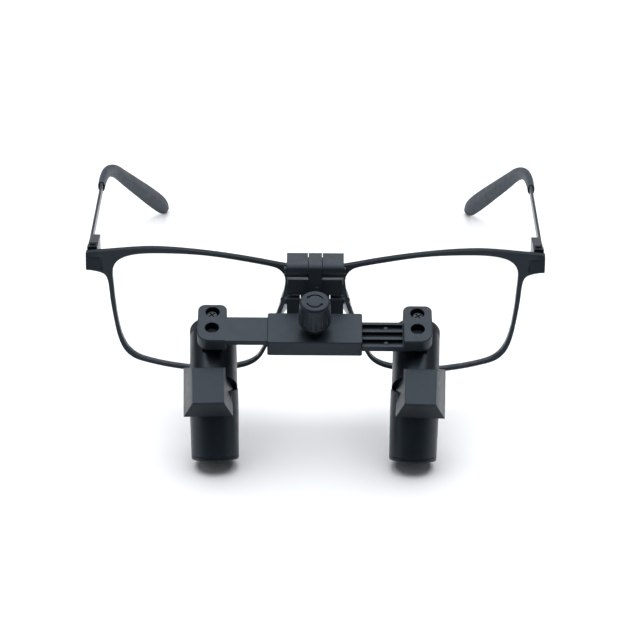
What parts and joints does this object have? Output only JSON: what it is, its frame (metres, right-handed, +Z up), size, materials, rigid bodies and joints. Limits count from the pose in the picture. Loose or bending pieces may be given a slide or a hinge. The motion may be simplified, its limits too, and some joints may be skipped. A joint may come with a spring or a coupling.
{
  "type": "dental loupes",
  "caption": "Flip-up prism loupes on a spectacle frame: hinged bridge bracket, tilting slide box with a knurled knob, two sliding arms and deflecting magnifier barrels.",
  "frame": {"origin": "middle of the outline, on the surface that the loupes stand on (objective rims and temple tips)", "axes": "+Y from the front towards the temple tips, +Z up, X across the face"},
  "size_m": [0.1476, 0.1836, 0.0574],
  "materials": {
    "spectacle_lens": "clear, coated",
    "optical_glass": "clear, coated",
    "silicone": "matt",
    "tip_rubber": "satin",
    "eyecup_rubber": "matt",
    "bright_steel": "machined",
    "blackened_steel": "satin",
    "barrel_coating": "satin anodised black",
    "frame_black": "satin",
    "knob_plastic": "satin",
    "mechanism_plastic": "satin"
  },
  "bodies": {
    "frame": {"frame_front": "frame_black", "nose_pad_left": "silicone", "nose_pad_right": "silicone", "lens_left": "spectacle_lens", "lens_right": "spectacle_lens", "hinge_screw_left": "bright_steel", "hinge_screw_right": "bright_steel", "bridge_bracket": "mechanism_plastic", "bracket_screws": "bright_steel", "flip_pin": "bright_steel"},
    "temple_arm_left": {"temple_left": "blackened_steel", "temple_tip_left": "tip_rubber"},
    "temple_arm_right": {"temple_right": "blackened_steel", "temple_tip_right": "tip_rubber"},
    "link": {"flip_link": "mechanism_plastic", "link_screw": "bright_steel"},
    "slide_box": {"slide_housing": "mechanism_plastic", "housing_cover": "mechanism_plastic", "tilt_pin": "bright_steel"},
    "knob_shaft": {"knob": "knob_plastic", "pinion_shaft": "bright_steel"},
    "slide_left": {"arm_left": "mechanism_plastic"},
    "slide_right": {"arm_right": "mechanism_plastic"},
    "barrel_left": {"saddle_left": "barrel_coating", "pivot_pin_left": "bright_steel", "lock_screw_left": "bright_steel", "eyepiece_tube_left": "barrel_coating", "eyecup_left": "eyecup_rubber", "eyepiece_lens_left": "optical_glass", "prism_housing_left": "barrel_coating", "prism_cover_left": "barrel_coating", "prism_left": "optical_glass", "objective_tube_left": "barrel_coating", "objective_ring_left": "barrel_coating", "objective_lens_left": "optical_glass"},
    "barrel_right": {"saddle_right": "barrel_coating", "pivot_pin_right": "bright_steel", "lock_screw_right": "bright_steel", "eyepiece_tube_right": "barrel_coating", "eyecup_right": "eyecup_rubber", "eyepiece_lens_right": "optical_glass", "prism_housing_right": "barrel_coating", "prism_cover_right": "barrel_coating", "prism_right": "optical_glass", "objective_tube_right": "barrel_coating", "objective_ring_right": "barrel_coating", "objective_lens_right": "optical_glass"}
  },
  "joints": [
    {"name": "temple_fold_left", "type": "hinge", "parent": "frame", "child": "temple_arm_left", "pos_m": [-0.06975, -0.03575, 0.05043], "axis": [0, -0.1907, -0.9817], "range_deg": [0, 84]},
    {"name": "temple_fold_right", "type": "hinge", "parent": "frame", "child": "temple_arm_right", "pos_m": [0.06975, -0.03575, 0.05043], "axis": [0, 0.1907, 0.9817], "range_deg": [0, 72]},
    {"name": "flip_up", "type": "hinge", "parent": "frame", "child": "link", "pos_m": [0, -0.05908, 0.05409], "axis": [-1, 0, 0], "range_deg": [0, 80]},
    {"name": "declination_tilt", "type": "hinge", "parent": "link", "child": "slide_box", "pos_m": [0, -0.06241, 0.04532], "axis": [-1, 0, 0], "range_deg": [-8, 15]},
    {"name": "knob_turn", "type": "hinge", "parent": "slide_box", "child": "knob_shaft", "pos_m": [0, -0.07153, 0.04088], "axis": [0, -0.2925, 0.9563], "range_deg": [-82, 103]},
    {"name": "slide_left_travel", "type": "slide", "parent": "slide_box", "child": "slide_left", "axis": [-1, 0, 0], "range_m": [-0.004, 0.005]},
    {"name": "slide_right_travel", "type": "slide", "parent": "slide_box", "child": "slide_right", "axis": [1, 0, 0], "range_m": [-0.004, 0.005]},
    {"name": "convergence_left", "type": "hinge", "parent": "slide_left", "child": "barrel_left", "pos_m": [-0.03125, -0.07105, 0.04103], "axis": [0, -0.2925, 0.9563], "range_deg": [-3, 0.8]},
    {"name": "convergence_right", "type": "hinge", "parent": "slide_right", "child": "barrel_right", "pos_m": [0.03125, -0.07105, 0.04103], "axis": [0, -0.2925, 0.9563], "range_deg": [-0.8, 3]}
  ],
  "couplings": [
    {"joint": "slide_right_travel", "follows": "slide_left_travel", "ratio": 1},
    {"joint": "knob_turn", "follows": "slide_left_travel", "rad_per_m": 357.14}
  ]
}
